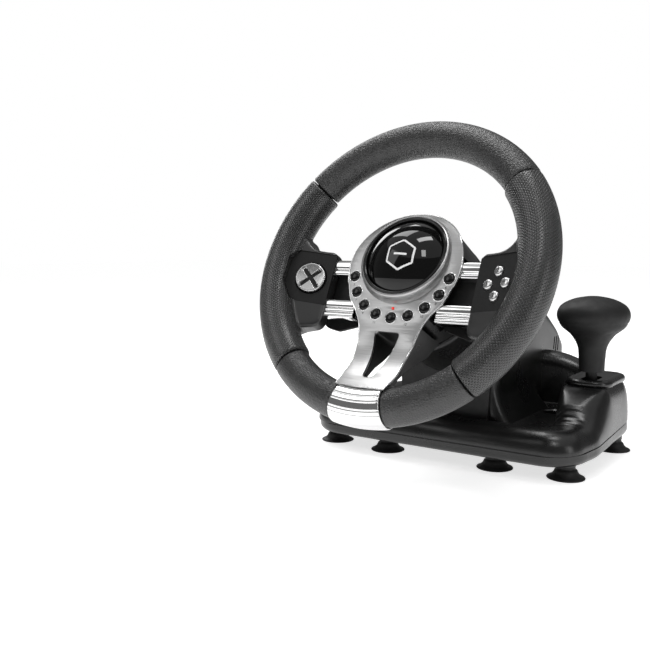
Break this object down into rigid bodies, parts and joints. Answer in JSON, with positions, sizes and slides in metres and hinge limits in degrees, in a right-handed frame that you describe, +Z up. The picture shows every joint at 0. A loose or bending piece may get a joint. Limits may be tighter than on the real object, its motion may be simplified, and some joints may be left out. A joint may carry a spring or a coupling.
{
  "type": "racing wheel",
  "caption": "Racing wheel controller: padded rim with chrome clip, brushed hub with dome and buttons, leaning column, suction-cup base and side gear lever.",
  "frame": {"origin": "on the table under the middle of the whole object, at the suction cups' lower faces", "axes": "+Z up, +X to the driver's right, -Y towards the driver"},
  "size_m": [0.2722, 0.337, 0.2898],
  "materials": {
    "leather": "fine-grained black leatherette, satin",
    "grip": "dimpled black rubber, soft sheen",
    "chrome": "bright, fluted",
    "plate": "fine brushed, bright edge",
    "ring": "polished black with a bright bevel",
    "dome": "deep gloss black",
    "matte_black": "fine matte texture",
    "gloss_black": "satin gloss",
    "knob": "soft-touch coating",
    "button_gloss": "glossy",
    "silver": "satin silver",
    "cup_rubber": "matte rubber",
    "steel": "plain",
    "nylon": "natural nylon",
    "board": "solder mask",
    "red_lens": "clear red lens"
  },
  "bodies": {
    "base": {"column_front_panel": "matte_black", "base_lower_shell": "matte_black", "bearing_carrier": "matte_black", "pot_bracket": "matte_black", "potentiometer": "matte_black", "lever_bracket": "matte_black", "lever_switches": "matte_black", "pedal_socket": "matte_black", "cable_gland": "matte_black", "base_upper_shell": "gloss_black", "column_housing": "gloss_black", "column_top_cover": "gloss_black", "shifter_cap": "gloss_black", "suction_cups": "cup_rubber", "shaft_bearings": "steel", "centring_spring": "steel", "base_screws": "steel", "lever_pivot_pin": "steel", "lever_spring": "steel", "main_circuit_board": "board"},
    "wheel": {"rim_core": "matte_black", "spoke_frame": "matte_black", "rim_top_cover": "leather", "rim_grip_left": "grip", "rim_grip_right": "grip", "rim_lower_cover_left": "leather", "rim_lower_cover_right": "leather", "rim_clip": "chrome", "hub_plate": "plate", "hub_ring": "ring", "hub_dome": "dome", "hub_rear_housing": "matte_black", "spoke_bars": "chrome", "control_panel_left": "matte_black", "control_panel_right": "matte_black", "hub_circuit_board": "board", "status_led": "red_lens", "steering_shaft": "steel", "drive_gear": "nylon", "paddle_pins": "steel"},
    "gear_lever": {"lever_stem": "steel", "lever_knob": "knob"},
    "paddle_left": {"paddle_left": "matte_black"},
    "paddle_right": {"paddle_right": "matte_black"},
    "pot_pinion": {"pot_pinion": "nylon"},
    "dpad_pivot": {"dpad_pivot": "matte_black"},
    "dpad": {"dpad": "silver"},
    "button_mode": {"button_mode": "button_gloss"},
    "button_1": {"button_1": "silver"},
    "button_2": {"button_2": "silver"},
    "button_3": {"button_3": "silver"},
    "button_4": {"button_4": "silver"},
    "button_5": {"button_5": "button_gloss"},
    "button_6": {"button_6": "button_gloss"},
    "button_7": {"button_7": "button_gloss"},
    "button_8": {"button_8": "button_gloss"},
    "button_9": {"button_9": "button_gloss"},
    "button_10": {"button_10": "button_gloss"},
    "button_11": {"button_11": "button_gloss"},
    "button_12": {"button_12": "button_gloss"}
  },
  "joints": [
    {"name": "steering_turn", "type": "hinge", "parent": "base", "child": "wheel", "pos_m": [-0.0029, -0.10252, 0.1711], "axis": [0, -0.9018, 0.4321], "range_deg": [-90, 90], "stiffness_Nm_per_rad": 0.25},
    {"name": "pinion_turn", "type": "hinge", "parent": "base", "child": "pot_pinion", "pos_m": [-0.0029, 0.03315, 0.0562], "axis": [0, -0.9018, 0.4321], "range_deg": [-275, 275]},
    {"name": "gear_shift", "type": "hinge", "parent": "base", "child": "gear_lever", "pos_m": [0.1051, 0.0538, 0.05], "axis": [1, 0, 0], "range_deg": [-12, 12], "stiffness_Nm_per_rad": 0.8},
    {"name": "paddle_left_pull", "type": "hinge", "parent": "wheel", "child": "paddle_left", "pos_m": [-0.0369, -0.08505, 0.14277], "axis": [0, 0.4321, 0.9018], "range_deg": [0, 6], "stiffness_Nm_per_rad": 0.2},
    {"name": "paddle_right_pull", "type": "hinge", "parent": "wheel", "child": "paddle_right", "pos_m": [0.0311, -0.08505, 0.14277], "axis": [0, -0.4321, -0.9018], "range_deg": [0, 6], "stiffness_Nm_per_rad": 0.2},
    {"name": "dpad_tilt_up_down", "type": "hinge", "parent": "wheel", "child": "dpad_pivot", "pos_m": [-0.08677, -0.10243, 0.15953], "axis": [0.9537, 0.2712, -0.1299], "range_deg": [-5, 5], "stiffness_Nm_per_rad": 0.05},
    {"name": "dpad_tilt_left_right", "type": "hinge", "parent": "dpad_pivot", "child": "dpad", "pos_m": [-0.08677, -0.10243, 0.15953], "axis": [0, 0.4321, 0.9018], "range_deg": [-5, 5], "stiffness_Nm_per_rad": 0.05},
    {"name": "press_mode", "type": "slide", "parent": "wheel", "child": "button_mode", "axis": [0, 0.9018, -0.4321], "range_m": [0, 0.0012], "stiffness_N_per_m": 400},
    {"name": "press_1", "type": "slide", "parent": "wheel", "child": "button_1", "axis": [0.3007, 0.8601, -0.4121], "range_m": [0, 0.001], "stiffness_N_per_m": 400},
    {"name": "press_2", "type": "slide", "parent": "wheel", "child": "button_2", "axis": [0.3007, 0.8601, -0.4121], "range_m": [0, 0.001], "stiffness_N_per_m": 400},
    {"name": "press_3", "type": "slide", "parent": "wheel", "child": "button_3", "axis": [0.3007, 0.8601, -0.4121], "range_m": [0, 0.001], "stiffness_N_per_m": 400},
    {"name": "press_4", "type": "slide", "parent": "wheel", "child": "button_4", "axis": [0.3007, 0.8601, -0.4121], "range_m": [0, 0.001], "stiffness_N_per_m": 400},
    {"name": "press_5", "type": "slide", "parent": "wheel", "child": "button_5", "axis": [0, 0.9018, -0.4321], "range_m": [0, 0.0012], "stiffness_N_per_m": 400},
    {"name": "press_6", "type": "slide", "parent": "wheel", "child": "button_6", "axis": [0, 0.9018, -0.4321], "range_m": [0, 0.0012], "stiffness_N_per_m": 400},
    {"name": "press_7", "type": "slide", "parent": "wheel", "child": "button_7", "axis": [0, 0.9018, -0.4321], "range_m": [0, 0.0012], "stiffness_N_per_m": 400},
    {"name": "press_8", "type": "slide", "parent": "wheel", "child": "button_8", "axis": [0, 0.9018, -0.4321], "range_m": [0, 0.0012], "stiffness_N_per_m": 400},
    {"name": "press_9", "type": "slide", "parent": "wheel", "child": "button_9", "axis": [0, 0.9018, -0.4321], "range_m": [0, 0.0012], "stiffness_N_per_m": 400},
    {"name": "press_10", "type": "slide", "parent": "wheel", "child": "button_10", "axis": [0, 0.9018, -0.4321], "range_m": [0, 0.0012], "stiffness_N_per_m": 400},
    {"name": "press_11", "type": "slide", "parent": "wheel", "child": "button_11", "axis": [0, 0.9018, -0.4321], "range_m": [0, 0.0012], "stiffness_N_per_m": 400},
    {"name": "press_12", "type": "slide", "parent": "wheel", "child": "button_12", "axis": [0, 0.9018, -0.4321], "range_m": [0, 0.001], "stiffness_N_per_m": 400}
  ],
  "couplings": [
    {"joint": "pinion_turn", "follows": "steering_turn", "ratio": -3}
  ]
}
